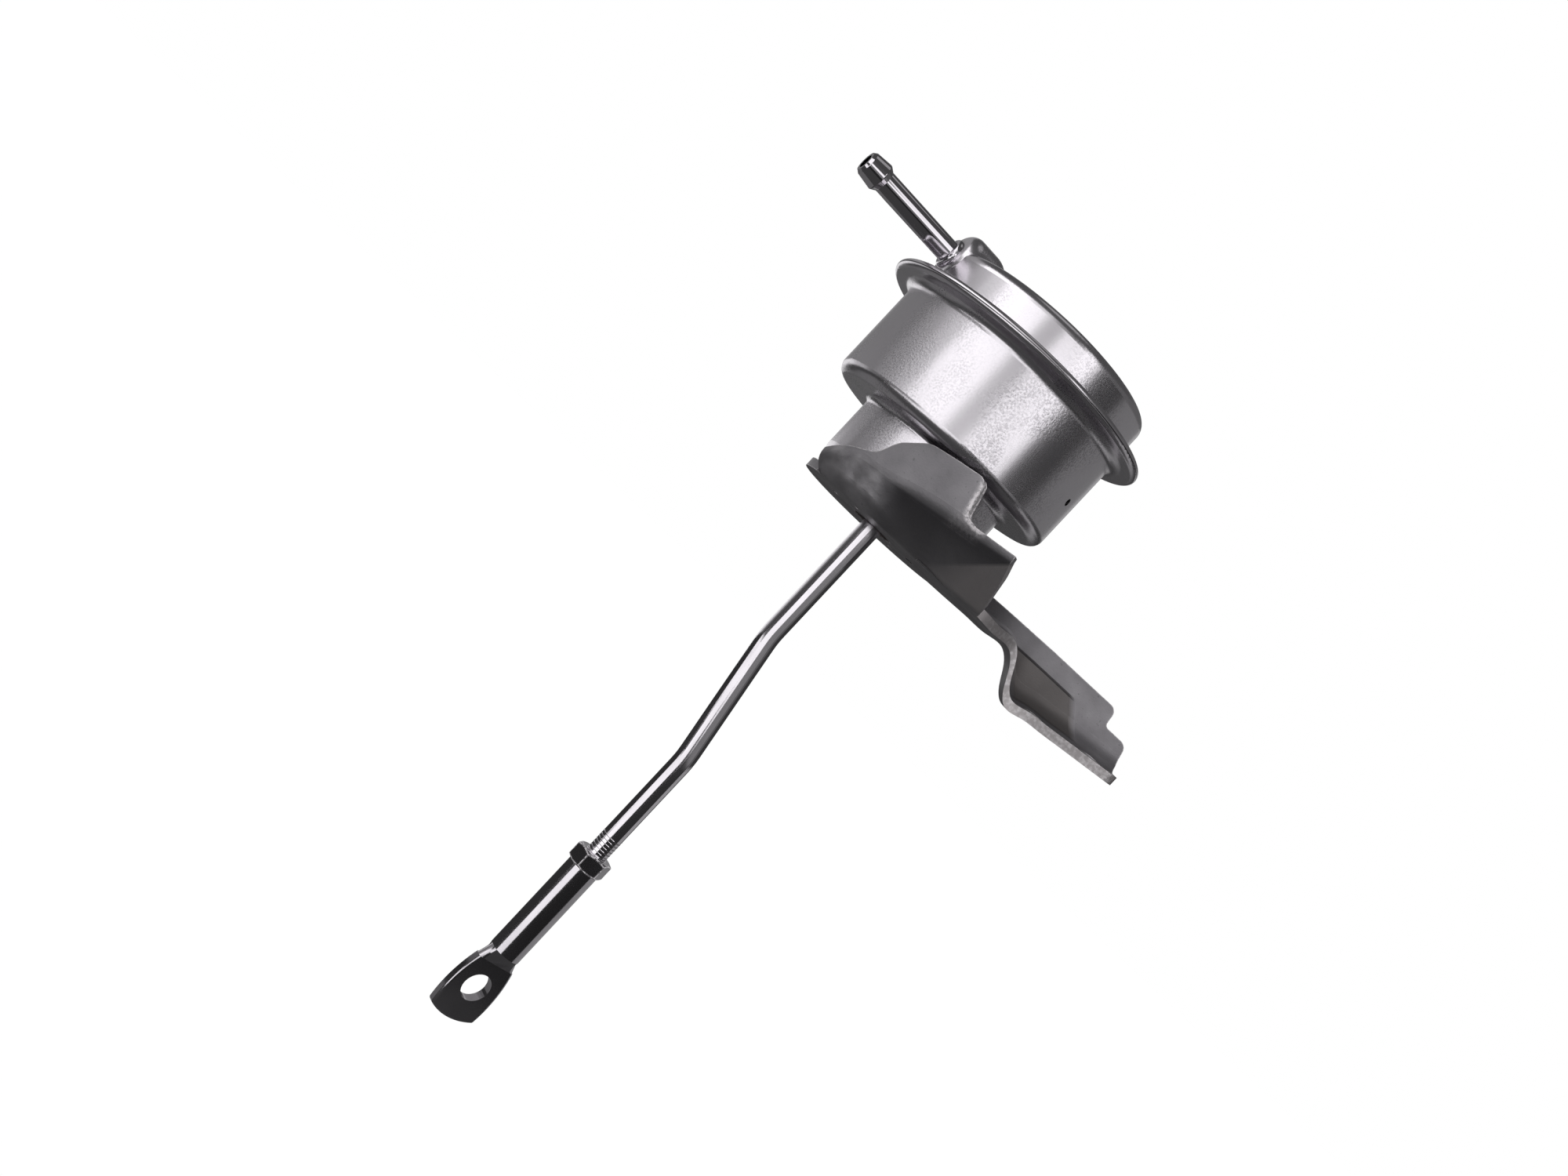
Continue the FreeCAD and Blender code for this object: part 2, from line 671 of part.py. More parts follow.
def base_plan():
    """Plan outline that trims the straight run of base and apron."""
    dx = apron_end_x - apron_corner_x
    dy = apron_end_y - apron_corner_y
    far = 3.0 * base_r
    return [(-far, -far), (apron_corner_x, apron_corner_y),
            (apron_corner_x + 0.51 * dx, apron_corner_y + 0.31 * dy),
            (apron_corner_x + 0.84 * dx, apron_corner_y + 0.64 * dy),
            (apron_end_x, apron_end_y), (1.07 * apron_end_x, 0.76 * apron_end_y),
            (1.11 * apron_end_x, 0.33 * base_r), (base_r, 0.54 * base_r),
            (0.67 * base_r, 0.67 * base_r), (-far, 0.67 * base_r)]


def bracket():
    """Pressed steel bracket in one piece: base, apron, lug, arm and pad."""
    formed = formed_apron().cut(lug_trim())
    radii = [0, sheet_t, 5.0 * base_r / 6.0, 1.25 * base_r, 2 * sheet_t, 0, 0, 0, 0, 0]
    trim = prism(base_plan(), radii, -sheet_t, 2 * shoulder_z)
    formed = formed.common(trim)
    near_side = prism([(0, 0), (-2.14 * base_r, -1.29 * base_r),
                       (-2.5 * base_r, -3.75 * base_r), (2.5 * base_r, -3.75 * base_r),
                       (2.5 * base_r, -1.56 * base_r)], [0] * 5, -1, sheet_t + 1)
    disc = bar(base_r, 0, sheet_t).cut(near_side).fuse(bar(base_inner_r, 0, sheet_t))
    web = prism([(0, 0.42 * base_r), (0.83 * base_r, 0.46 * base_r),
                 (1.11 * apron_end_x, 0.125 * base_r),
                 (1.07 * apron_end_x, 0.76 * apron_end_y),
                 (0.83 * base_r, -0.67 * base_r), (0, -0.33 * base_r)],
                [0] * 6, 0, sheet_t)
    body = disc.fuse([formed, hugging_wall(), bracket_arm(), web]).removeSplitter()
    reach = nose_r + stop_gap
    nose_clear = turned([(0, sheet_t), (reach, sheet_t), (reach, shoulder_z),
                         (0, shoulder_z)], [0, nose_foot_r, 0, 0])
    can_clear = bar(can_r + 2 * stop_gap, shoulder_z - stop_gap, 2 * shoulder_z)
    body = body.cut(nose_clear).cut(can_clear)
    body = body.cut(bar(rod_hole_d / 2.0, -sheet_t, 2 * sheet_t))
    for angle in (0, 60, 180, 240):
        c = math.radians(angle)
        body = body.cut(bar(dimple_d / 2.0, -sheet_t, dimple_depth, dimple_circle * math.cos(c),
                            dimple_circle * math.sin(c)))
    outer = pad_end_x - pad_hole_end
    for x in (outer - pad_hole_pitch, outer):
        body = body.cut(bar(pad_hole_d / 2.0, -2 * pad_drop, sheet_t, x,
                            pad_near_y + pad_hole_inset))
    return body


NODES = {
    "cap": cap,
    "lower_can": lower_can,
    "hose_nipple": hose_nipple,
    "bracket": bracket,
    "diaphragm": diaphragm,
    "piston_cup": piston_cup,
    "piston_plate": piston_plate,
    "head_washer": head_washer,
    "backing_washer": backing_washer,
    "return_spring": return_spring,
    "spring_seat": spring_seat,
    "rod_guide": rod_guide,
    "rod": rod,
    "lock_nut": lock_nut,
    "rod_end": rod_end,
}

os.makedirs("parts", exist_ok=True)
for name, build in NODES.items():
    shape = build()
    if len(shape.Solids) == 1:
        shape = shape.Solids[0]
    print(name, len(shape.Solids), shape.isValid(), round(shape.Volume, 1))
    shape.exportStep("parts/%s.step" % name)
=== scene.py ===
"""Wastegate actuator: finishes, fine pieces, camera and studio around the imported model.

Lengths in the size fields are millimetres in the model's own frame: +Z along the rod's
guide line towards the cap, +X towards the bracket's arm, -Y towards the lug. MM turns
them into metres. Lengths in the finishes and their node groups are metres in the same
frame, as Object coordinates give them.
"""

import logging
import math
from dataclasses import dataclass, field
from enum import Enum

import bmesh
import bpy
from mathutils import Matrix, Vector


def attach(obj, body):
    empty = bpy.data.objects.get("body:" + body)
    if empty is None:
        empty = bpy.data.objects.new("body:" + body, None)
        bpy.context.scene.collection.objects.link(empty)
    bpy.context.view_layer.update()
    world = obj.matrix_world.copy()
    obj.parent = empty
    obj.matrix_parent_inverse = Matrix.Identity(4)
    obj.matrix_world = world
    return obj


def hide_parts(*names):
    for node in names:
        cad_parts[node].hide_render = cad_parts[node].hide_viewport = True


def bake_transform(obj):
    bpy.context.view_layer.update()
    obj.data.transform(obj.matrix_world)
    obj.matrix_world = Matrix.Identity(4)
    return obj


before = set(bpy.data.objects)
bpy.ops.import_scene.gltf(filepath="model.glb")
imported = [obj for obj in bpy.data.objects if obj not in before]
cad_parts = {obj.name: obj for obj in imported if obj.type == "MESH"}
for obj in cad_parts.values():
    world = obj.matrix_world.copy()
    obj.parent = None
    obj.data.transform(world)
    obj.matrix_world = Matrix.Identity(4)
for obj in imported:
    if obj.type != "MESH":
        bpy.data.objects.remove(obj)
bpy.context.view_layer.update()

MM = 0.001
MERGE_DISTANCE = 1e-7
WHITE = (1.0, 1.0, 1.0, 1.0)
MASK = "Mask"
HEIGHT = "Height"
LOG = logging.getLogger("actuator")


class Body(Enum):
    """Rigid bodies of the model that a new piece can ride on."""

    CANISTER = "canister"
    PUSH_ROD = "push_rod"


class Effect(Enum):
    """Shader node groups shared by the finishes."""

    DRAW_STREAKS = "draw_streaks"
    METAL_GRAIN = "metal_grain"
    EDGE_WEAR_AND_HIGHLIGHT = "edge_wear_and_highlight"
    CUT_EDGE = "cut_edge"
    HEM_SEAM = "hem_seam"
    SHADED_PRESSED_PANEL = "shaded_pressed_panel"
    PRESS_MARKS = "press_marks"
    FOLD_SHADE = "fold_shade"
    LIT_TURNED_FOOT = "lit_turned_foot"
    CREASE_SHADE = "crease_shade"
    WALL_SHADE = "wall_shade"


def new_group(
    effect: Effect, inputs: dict[str, float], outputs: tuple[str, ...]
) -> tuple[bpy.types.NodeTree, bpy.types.Node, bpy.types.Node]:
    """Start an empty shader node group.

    Args:
        effect: The effect that the group is named for.
        inputs: Input names with their default numbers.
        outputs: Output names.

    Returns:
        The group, its input node and its output node.
    """
    tree = bpy.data.node_groups.new(effect.value, "ShaderNodeTree")
    for name, default in inputs.items():
        socket = tree.interface.new_socket(name, in_out="INPUT", socket_type="NodeSocketFloat")
        socket.default_value = default
    for name in outputs:
        tree.interface.new_socket(name, in_out="OUTPUT", socket_type="NodeSocketFloat")
    return tree, tree.nodes.new("NodeGroupInput"), tree.nodes.new("NodeGroupOutput")


def math_node(
    tree: bpy.types.NodeTree,
    operation: str,
    first: bpy.types.NodeSocket,
    second: bpy.types.NodeSocket | float = 0.0,
) -> bpy.types.NodeSocket:
    """Add a Math node.

    Args:
        tree: The tree that gets the node.
        operation: The node's operation, such as MULTIPLY.
        first: The socket that feeds the first input.
        second: A socket or a number for the second input, where the operation has one.

    Returns:
        The node's output socket.
    """
    node = tree.nodes.new("ShaderNodeMath")
    node.operation = operation
    tree.links.new(first, node.inputs[0])
    if isinstance(second, bpy.types.NodeSocket):
        tree.links.new(second, node.inputs[1])
    else:
        node.inputs[1].default_value = second
    return node.outputs[0]


def product(tree: bpy.types.NodeTree, *factors: bpy.types.NodeSocket) -> bpy.types.NodeSocket:
    """Multiply masks.

    Args:
        tree: The tree that gets the nodes.
        factors: The masks' sockets.

    Returns:
        The product's socket.
    """
    result = factors[0]
    for factor in factors[1:]:
        result = math_node(tree, "MULTIPLY", result, factor)
    return result


def remap(
    tree: bpy.types.NodeTree,
    value: bpy.types.NodeSocket,
    low: float = 0.0,
    high: float = 1.0,
    to_low: float = 0.0,
    to_high: float = 1.0,
) -> bpy.types.NodeSocket:
    """Map a value from one range to another, clamped.

    Args:
        tree: The tree that gets the node.
        value: The socket to map.
        low: Start of the input range.
        high: End of the input range.
        to_low: Result at the start.
        to_high: Result at the end.

    Returns:
        The mapped value's socket.
    """
    node = tree.nodes.new("ShaderNodeMapRange")
    tree.links.new(value, node.inputs["Value"])
    node.inputs["From Min"].default_value = low
    node.inputs["From Max"].default_value = high
    node.inputs["To Min"].default_value = to_low
    node.inputs["To Max"].default_value = to_high
    return node.outputs["Result"]


def past(
    tree: bpy.types.NodeTree,
    value: bpy.types.NodeSocket,
    limit: bpy.types.NodeSocket,
    fade: float,
    to_low: float = 0.0,
) -> bpy.types.NodeSocket:
    """Mask of the places where a value has passed a limit.

    Args:
        tree: The tree that gets the nodes.
        value: The socket to test.
        limit: The limit's socket.
        fade: Way past the limit where the mask is 1, negative for values below it.
        to_low: What the mask is at the limit.

    Returns:
        The mask's socket.
    """
    way = math_node(tree, "SUBTRACT", value, limit)
    return remap(tree, way, high=fade, to_low=to_low)


def window(
    tree: bpy.types.NodeTree, value: bpy.types.NodeSocket, low: float, high: float, soft: float
) -> bpy.types.NodeSocket:
    """Mask that is 1 between two values and fades over a soft width.

    Args:
        tree: The tree that gets the nodes.
        value: The socket to test.
        low: Where the mask starts to rise.
        high: Where it is back at 0.
        soft: Width of each fade.

    Returns:
        The mask's socket.
    """
    rise = remap(tree, value, low=low, high=low + soft)
    fall = remap(tree, value, low=high, high=high - soft)
    return product(tree, rise, fall)


def object_noise(
    tree: bpy.types.NodeTree,
    scale: float,
    detail: float,
    stretch: tuple[float, float, float] = (1.0, 1.0, 1.0),
) -> bpy.types.NodeSocket:
    """Noise on Object coordinates.

    Args:
        tree: The tree that gets the nodes.
        scale: Scale of the noise, per metre.
        detail: Octaves of the noise.
        stretch: Scale of the coordinates along X, Y and Z.

    Returns:
        The noise value's socket.
    """
    coords = tree.nodes.new("ShaderNodeTexCoord")
    mapping = tree.nodes.new("ShaderNodeMapping")
    mapping.inputs["Scale"].default_value = stretch
    noise = tree.nodes.new("ShaderNodeTexNoise")
    noise.inputs["Scale"].default_value = scale
    noise.inputs["Detail"].default_value = detail
    tree.links.new(coords.outputs["Object"], mapping.inputs["Vector"])
    tree.links.new(mapping.outputs["Vector"], noise.inputs["Vector"])
    return noise.outputs["Fac"]


def object_axes(
    tree: bpy.types.NodeTree, output: str = "Object"
) -> tuple[bpy.types.NodeSocket, bpy.types.NodeSocket, bpy.types.NodeSocket]:
    """Split a texture coordinate into its X, Y and Z.

    Args:
        tree: The tree that gets the nodes.
        output: The coordinate, Object or Normal.

    Returns:
        The three sockets.
    """
    coords = tree.nodes.new("ShaderNodeTexCoord")
    split = tree.nodes.new("ShaderNodeSeparateXYZ")
    tree.links.new(coords.outputs[output], split.inputs["Vector"])
    return tuple(split.outputs)


def axis_distance(tree: bpy.types.NodeTree) -> bpy.types.NodeSocket:
    """Distance from the canister's axis.

    Args:
        tree: The tree that gets the nodes.

    Returns:
        The distance's socket.
    """
    x, y, _ = object_axes(tree)
    squares = math_node(tree, "ADD", product(tree, x, x), product(tree, y, y))
    return math_node(tree, "SQRT", squares)


def facing_y(tree: bpy.types.NodeTree, low: float, high: float) -> bpy.types.NodeSocket:
    """Mask of the faces that are turned along Y.

    Args:
        tree: The tree that gets the nodes.
        low: The normal's Y where the mask is 0.
        high: The normal's Y where the mask is 1.

    Returns:
        The mask's socket.
    """
    return remap(tree, object_axes(tree, "Normal")[1], low=low, high=high)


def rear_wall(tree: bpy.types.NodeTree) -> bpy.types.NodeSocket:
    """Mask of the inner side of the arm's rear wall.

    Args:
        tree: The tree that gets the nodes.

    Returns:
        The mask's socket.
    """
    behind = remap(tree, object_axes(tree)[1], low=-0.0085, high=-0.0065)
    return product(tree, facing_y(tree, low=-0.45, high=-0.60), behind)


def build_draw_streaks() -> bpy.types.NodeTree:
    """Surface of a drawn shell: soft lines along Z and patches of fine sand.

    Returns:
        The node group.
    """
    tree, start, out = new_group(
        Effect.DRAW_STREAKS, {"Rim From": 0.0385, "Line Height": 0.35}, (MASK, HEIGHT)
    )
    lines = object_noise(tree, scale=420.0, detail=3.0, stretch=(1.0, 1.0, 0.12))
    patch = object_noise(tree, scale=75.0, detail=2.0, stretch=(1.0, 1.0, 0.5))
    sand = object_noise(tree, scale=1900.0, detail=2.0)
    spots = product(
        tree,
        remap(tree, sand, low=0.42, high=0.66),
        remap(tree, patch, low=0.46, high=0.60, to_low=0.15),
        past(tree, axis_distance(tree), start.outputs["Rim From"], fade=-0.001, to_low=0.1),
    )
    soft = product(tree, lines, start.outputs["Line Height"])
    tree.links.new(spots, out.inputs[MASK])
    tree.links.new(math_node(tree, "ADD", spots, soft), out.inputs[HEIGHT])
    return tree


def build_metal_grain() -> bpy.types.NodeTree:
    """Grain of a plated or phosphated surface: blotches, fine pits and a height.

    Returns:
        The node group.
    """
    tree, _, out = new_group(Effect.METAL_GRAIN, {}, (MASK, HEIGHT))
    blotch = object_noise(tree, scale=90.0, detail=4.0)
    speckle = object_noise(tree, scale=1900.0, detail=3.0)
    pits = remap(tree, object_noise(tree, scale=1100.0, detail=2.0), low=0.36, high=0.27)
    patches = remap(tree, blotch, low=0.30, high=0.72)
    tree.links.new(math_node(tree, "MAXIMUM", patches, pits), out.inputs[MASK])
    tree.links.new(math_node(tree, "ADD", blotch, speckle), out.inputs[HEIGHT])
    return tree


def build_edge_wear_and_highlight() -> bpy.types.NodeTree:
    """Mask of edges tighter than a radius within a range, broken up by grain: real edge wear,
    and on the lug's corner and the lock nut a painted highlight as well.

    Returns:
        The node group.
    """
    tree, start, out = new_group(
        Effect.EDGE_WEAR_AND_HIGHLIGHT,
        {"Radius": 0.0006, "Spread": 0.02, "From X": -1.0, "To X": 1.0, "From Z": -1.0},
        (MASK,),
    )
    fade = 0.002
    bevel = tree.nodes.new("ShaderNodeBevel")
    bevel.samples = 6
    tree.links.new(start.outputs["Radius"], bevel.inputs["Radius"])
    geometry = tree.nodes.new("ShaderNodeNewGeometry")
    dot = tree.nodes.new("ShaderNodeVectorMath")
    dot.operation = "DOT_PRODUCT"
    tree.links.new(bevel.outputs["Normal"], dot.inputs[0])
    tree.links.new(geometry.outputs["Normal"], dot.inputs[1])
    turn = remap(tree, dot.outputs["Value"], low=1.0, high=0.0)
    share = math_node(tree, "DIVIDE", turn, start.outputs["Spread"])
    grain = object_noise(tree, scale=1300.0, detail=3.0)
    x, _, z = object_axes(tree)
    mask = product(
        tree,
        remap(tree, share),
        remap(tree, grain, low=0.34, high=0.56, to_low=0.2),
        past(tree, x, start.outputs["From X"], fade),
        past(tree, x, start.outputs["To X"], -fade),
        past(tree, z, start.outputs["From Z"], fade),
    )
    tree.links.new(mask, out.inputs[MASK])
    return tree


def build_cut_edge() -> bpy.types.NodeTree:
    """Mask of the arm's and pad's cut near edge, broken up by the shear's grain.

    Returns:
        The node group.
    """
    tree, start, out = new_group(
        Effect.CUT_EDGE, {"From X": 0.0365, "Up To Y": -0.0072}, (MASK,)
    )
    x, y, _ = object_axes(tree)
    grain = object_noise(tree, scale=900.0, detail=3.0)
    mask = product(
        tree,
        past(tree, x, start.outputs["From X"], fade=0.003),
        past(tree, y, start.outputs["Up To Y"], fade=-0.001),
        facing_y(tree, low=-0.60, high=-0.80),
        remap(tree, grain, low=0.44, high=0.66, to_low=0.10),
    )
    tree.links.new(mask, out.inputs[MASK])
    return tree


def build_hem_seam() -> bpy.types.NodeTree:
    """Mask of the fine line where the folded hem meets the flange.

    Returns:
        The node group.
    """
    tree, start, out = new_group(
        Effect.HEM_SEAM,
        {"Height": 0.0553, "Half Width": 0.00016, "From Radius": 0.0415},
        (MASK,),
    )
    z = object_axes(tree)[2]
    outside = math_node(tree, "GREATER_THAN", axis_distance(tree), start.outputs["From Radius"])
    away = math_node(tree, "ABSOLUTE", math_node(tree, "SUBTRACT", z, start.outputs["Height"]))
    away = math_node(tree, "DIVIDE", away, start.outputs["Half Width"])
    mask = product(tree, remap(tree, away, low=1.0, high=0.4), outside)
    tree.links.new(mask, out.inputs[MASK])
    return tree


def build_shaded_pressed_panel() -> bpy.types.NodeTree:
    """Mask of the sunk panel on the inner side of the arm's rear wall: the bracket sinks it in
    the bump and paints shade into its colour there.

    Returns:
        The node group.
    """
    tree, start, out = new_group(Effect.SHADED_PRESSED_PANEL, {"Slant": 0.9}, (MASK,))
    x, _, z = object_axes(tree)
    along = math_node(tree, "ADD", x, product(tree, z, start.outputs["Slant"]))
    mask = product(
        tree,
        window(tree, along, low=0.050, high=0.074, soft=0.0024),
        window(tree, z, low=-0.012, high=0.0035, soft=0.0007),
        rear_wall(tree),
    )
    tree.links.new(mask, out.inputs[MASK])
    return tree


def build_press_marks() -> bpy.types.NodeTree:
    """Mask of the lumps that pressing leaves on the wall beside the nose.

    Returns:
        The node group.
    """
    tree, _, out = new_group(Effect.PRESS_MARKS, {}, (MASK,))
    x, y, z = object_axes(tree)
    lumps = object_noise(tree, scale=125.0, detail=2.0)
    mask = product(
        tree,
        window(tree, x, low=-0.026, high=-0.001, soft=0.005),
        window(tree, z, low=0.0, high=0.011, soft=0.003),
        remap(tree, y, low=-0.008, high=-0.012),
        remap(tree, lumps, low=0.34, high=0.70, to_low=0.1),
    )
    tree.links.new(mask, out.inputs[MASK])
    return tree


def build_fold_shade() -> bpy.types.NodeTree:
    """Mask of painted shade on the shaded side of the fold between the lug and the apron.

    Returns:
        The node group.
    """
    tree, start, out = new_group(
        Effect.FOLD_SHADE,
        {"Height": 0.0085, "Climb": 0.09, "Lug Turn": math.radians(-32.0)},
        (MASK,),
    )
    x, y, z = object_axes(tree)
    turn = start.outputs["Lug Turn"]
    along = math_node(
        tree, "ADD",
        product(tree, x, math_node(tree, "COSINE", turn)),
        product(tree, y, math_node(tree, "SINE", turn)),
    )
    line = math_node(tree, "ADD", product(tree, along, start.outputs["Climb"]),
                     start.outputs["Height"])
    above = math_node(tree, "SUBTRACT", z, line)
    mask = product(
        tree,
        remap(tree, above, low=0.0002, high=-0.0004),
        remap(tree, above, low=-0.0100, high=-0.0015),
        remap(tree, along, low=0.006, high=0.016),
        remap(tree, y, low=-0.010, high=-0.014),
    )
    tree.links.new(mask, out.inputs[MASK])
    return tree


def build_lit_turned_foot() -> bpy.types.NodeTree:
    """Mask of painted light on the apron's lower far corner, where the sheet turns towards the
    light.

    Returns:
        The node group.
    """
    tree, start, out = new_group(
        Effect.LIT_TURNED_FOOT, {"Start X": 0.0194, "Start Z": 0.0042, "Slope": 0.888}, (MASK,)
    )
    x, y, z = object_axes(tree)
    along = math_node(tree, "SUBTRACT", x, start.outputs["Start X"])
    line = math_node(tree, "ADD", product(tree, along, start.outputs["Slope"]),
                     start.outputs["Start Z"])
    mask = product(
        tree,
        past(tree, line, z, fade=0.0012),
        remap(tree, along, low=-0.004, high=0.006),
        facing_y(tree, low=-0.10, high=-0.30),
        remap(tree, y, low=-0.008, high=-0.011),
    )
    tree.links.new(mask, out.inputs[MASK])
    return tree


def build_crease_shade() -> bpy.types.NodeTree:
    """Mask of painted shade in the crease between base and apron.

    Returns:
        The node group.
    """
    tree, _, out = new_group(Effect.CREASE_SHADE, {}, (MASK,))
    x, _, z = object_axes(tree)
    mask = product(
        tree,
        facing_y(tree, low=-0.70, high=-0.80),
        remap(tree, z, low=0.0034, high=0.0026),
        window(tree, x, low=0.010, high=0.034, soft=0.002),
    )
    tree.links.new(mask, out.inputs[MASK])
    return tree


def build_wall_shade() -> bpy.types.NodeTree:
    """Mask of the arm's rear wall, from the joggle back to the base.

    Returns:
        The node group.
    """
    tree, _, out = new_group(Effect.WALL_SHADE, {}, (MASK,))
    toward_base = remap(tree, object_axes(tree)[0], low=0.064, high=0.038)
    tree.links.new(product(tree, rear_wall(tree), toward_base), out.inputs[MASK])
    return tree


BUILDERS = {
    Effect.DRAW_STREAKS: build_draw_streaks,
    Effect.METAL_GRAIN: build_metal_grain,
    Effect.EDGE_WEAR_AND_HIGHLIGHT: build_edge_wear_and_highlight,
    Effect.CUT_EDGE: build_cut_edge,
    Effect.HEM_SEAM: build_hem_seam,
    Effect.SHADED_PRESSED_PANEL: build_shaded_pressed_panel,
    Effect.PRESS_MARKS: build_press_marks,
    Effect.FOLD_SHADE: build_fold_shade,
    Effect.LIT_TURNED_FOOT: build_lit_turned_foot,
    Effect.CREASE_SHADE: build_crease_shade,
    Effect.WALL_SHADE: build_wall_shade,
}


def effect_node(tree: bpy.types.NodeTree, effect: Effect) -> bpy.types.Node:
    """Place a shared effect in a material, building its group the first time.

    Args:
        tree: The material's node tree.
        effect: The effect to place.

    Returns:
        The group node.
    """
    node = tree.nodes.new("ShaderNodeGroup")
    node.node_tree = bpy.data.node_groups.get(effect.value) or BUILDERS[effect]()
    return node


def colour_mix(
    tree: bpy.types.NodeTree,
    factor: bpy.types.NodeSocket,
    first: bpy.types.NodeSocket | tuple[float, float, float],
    second: tuple[float, float, float],
) -> bpy.types.NodeSocket:
    """Mix two colours by a mask.

    Args:
        tree: The tree that gets the node.
        factor: The mask.
        first: Colour, or a colour socket, where the mask is 0.
        second: Colour where the mask is 1.

    Returns:
        The mixed colour's socket.
    """
    node = tree.nodes.new("ShaderNodeMix")
    node.data_type = "RGBA"
    tree.links.new(factor, node.inputs["Factor"])
    if isinstance(first, bpy.types.NodeSocket):
        tree.links.new(first, node.inputs["A"])
    else:
        node.inputs["A"].default_value = (*first, 1.0)
    node.inputs["B"].default_value = (*second, 1.0)
    return node.outputs["Result"]


@dataclass(frozen=True)
class Accent:
    """A second look where a mask says so, such as a cut edge.

    Attributes:
        effect: The node group that gives the mask.
        colour: Colour there.
        settings: Values for the group's inputs.
        relief: How far it stands out, in metres.
        matt: How far a diffuse look there replaces the metal's mirror look, 0 to 1: scratches
            on worn edges, and painted shade and painted highlights that reflections do not
            change.
    """

    effect: Effect
    colour: tuple[float, float, float]
    settings: tuple[tuple[str, float], ...] = ()
    relief: float = 0.0
    matt: float = 0.0


@dataclass(frozen=True)
class Finish:
    """A metal or rubber finish with its grain and accents.

    Attributes:
        name: Material name.
        colour: Main colour.
        tone: Second colour, in the grain's patches.
        rough: Roughness range from the smooth to the rough places.
        bump: Height of the grain, in metres.
        metallic: 1 for bare or plated metal, less where a dull skin covers it, 0 for rubber.
        effect: The grain's node group.
        accents: Looks laid over it.
    """

    name: str
    colour: tuple[float, float, float]
    tone: tuple[float, float, float]
    rough: tuple[float, float]
    bump: float
    metallic: float = 1.0
    effect: Effect = Effect.METAL_GRAIN
    accents: tuple[Accent, ...] = ()

    def material(self) -> bpy.types.Material:
        """Build the material, or return it if it exists.

        Returns:
            The material.
        """
        done = bpy.data.materials.get(self.name)
        if done:
            return done
        material = bpy.data.materials.new(self.name)
        material.use_nodes = True
        tree = material.node_tree
        shader = tree.nodes["Principled BSDF"]
        grain = effect_node(tree, self.effect)
        mask = grain.outputs[MASK]
        colour = colour_mix(tree, mask, self.colour, self.tone)
        height = math_node(tree, "MULTIPLY", grain.outputs[HEIGHT], self.bump)
        shader.inputs["Metallic"].default_value = self.metallic
        metal = None
        for accent in self.accents:
            layer = effect_node(tree, accent.effect)
            for key, value in accent.settings:
                layer.inputs[key].default_value = value
            there = layer.outputs[MASK]
            colour = colour_mix(tree, there, colour, accent.colour)
            if accent.relief:
                lift = math_node(tree, "MULTIPLY", there, accent.relief)
                height = math_node(tree, "ADD", height, lift)
            if accent.matt:
                whole = self.metallic if metal is None else 1.0
                left = remap(tree, there, to_low=whole, to_high=whole * (1.0 - accent.matt))
                metal = left if metal is None else product(tree, metal, left)
        tree.links.new(colour, shader.inputs["Base Color"])
        smooth, rough = self.rough
        tree.links.new(remap(tree, mask, to_low=smooth, to_high=rough),
                       shader.inputs["Roughness"])
        if metal is not None:
            tree.links.new(metal, shader.inputs["Metallic"])
        bump = tree.nodes.new("ShaderNodeBump")
        bump.inputs["Strength"].default_value = 1.0
        bump.inputs["Distance"].default_value = 1.0
        tree.links.new(height, bump.inputs["Height"])
        tree.links.new(bump.outputs["Normal"], shader.inputs["Normal"])
        return material


def worn_and_highlight_edge(colour: tuple[float, float, float], radius: float, matt: float = 0.0) -> Accent:
    """Edges rubbed bright; where the matt share is high, as on the lock nut, the bright edge is
    also a painted highlight.

    Args:
        colour: Colour of the bare metal, which on the lock nut is also a painted highlight.
        radius: Width of the worn strip, in metres.
        matt: How far a diffuse look replaces the mirror look: scratches on worn metal, and on
            the lock nut a painted highlight that reflections do not dim.

    Returns:
        The accent.
    """
    return Accent(Effect.EDGE_WEAR_AND_HIGHLIGHT, colour, (("Radius", radius),), matt=matt)


CAN_STEEL = Finish(
    name="drawn_can_steel", colour=(0.74, 0.71, 0.75), tone=(0.57, 0.547, 0.58),
    rough=(0.24, 0.30), bump=0.000012, effect=Effect.DRAW_STREAKS,
    accents=(Accent(Effect.HEM_SEAM, (0.05, 0.048, 0.05)),),
)
CAP_STEEL = Finish(
    name="pressed_cap_steel", colour=(0.77, 0.739, 0.78), tone=(0.67, 0.643, 0.68),
    rough=(0.22, 0.28), bump=0.000008, effect=Effect.DRAW_STREAKS,
)
NIPPLE_STEEL = Finish(
    name="nipple_steel", colour=(0.66, 0.634, 0.67), tone=(0.60, 0.576, 0.61),
    rough=(0.06, 0.09), bump=0.0000005,
)
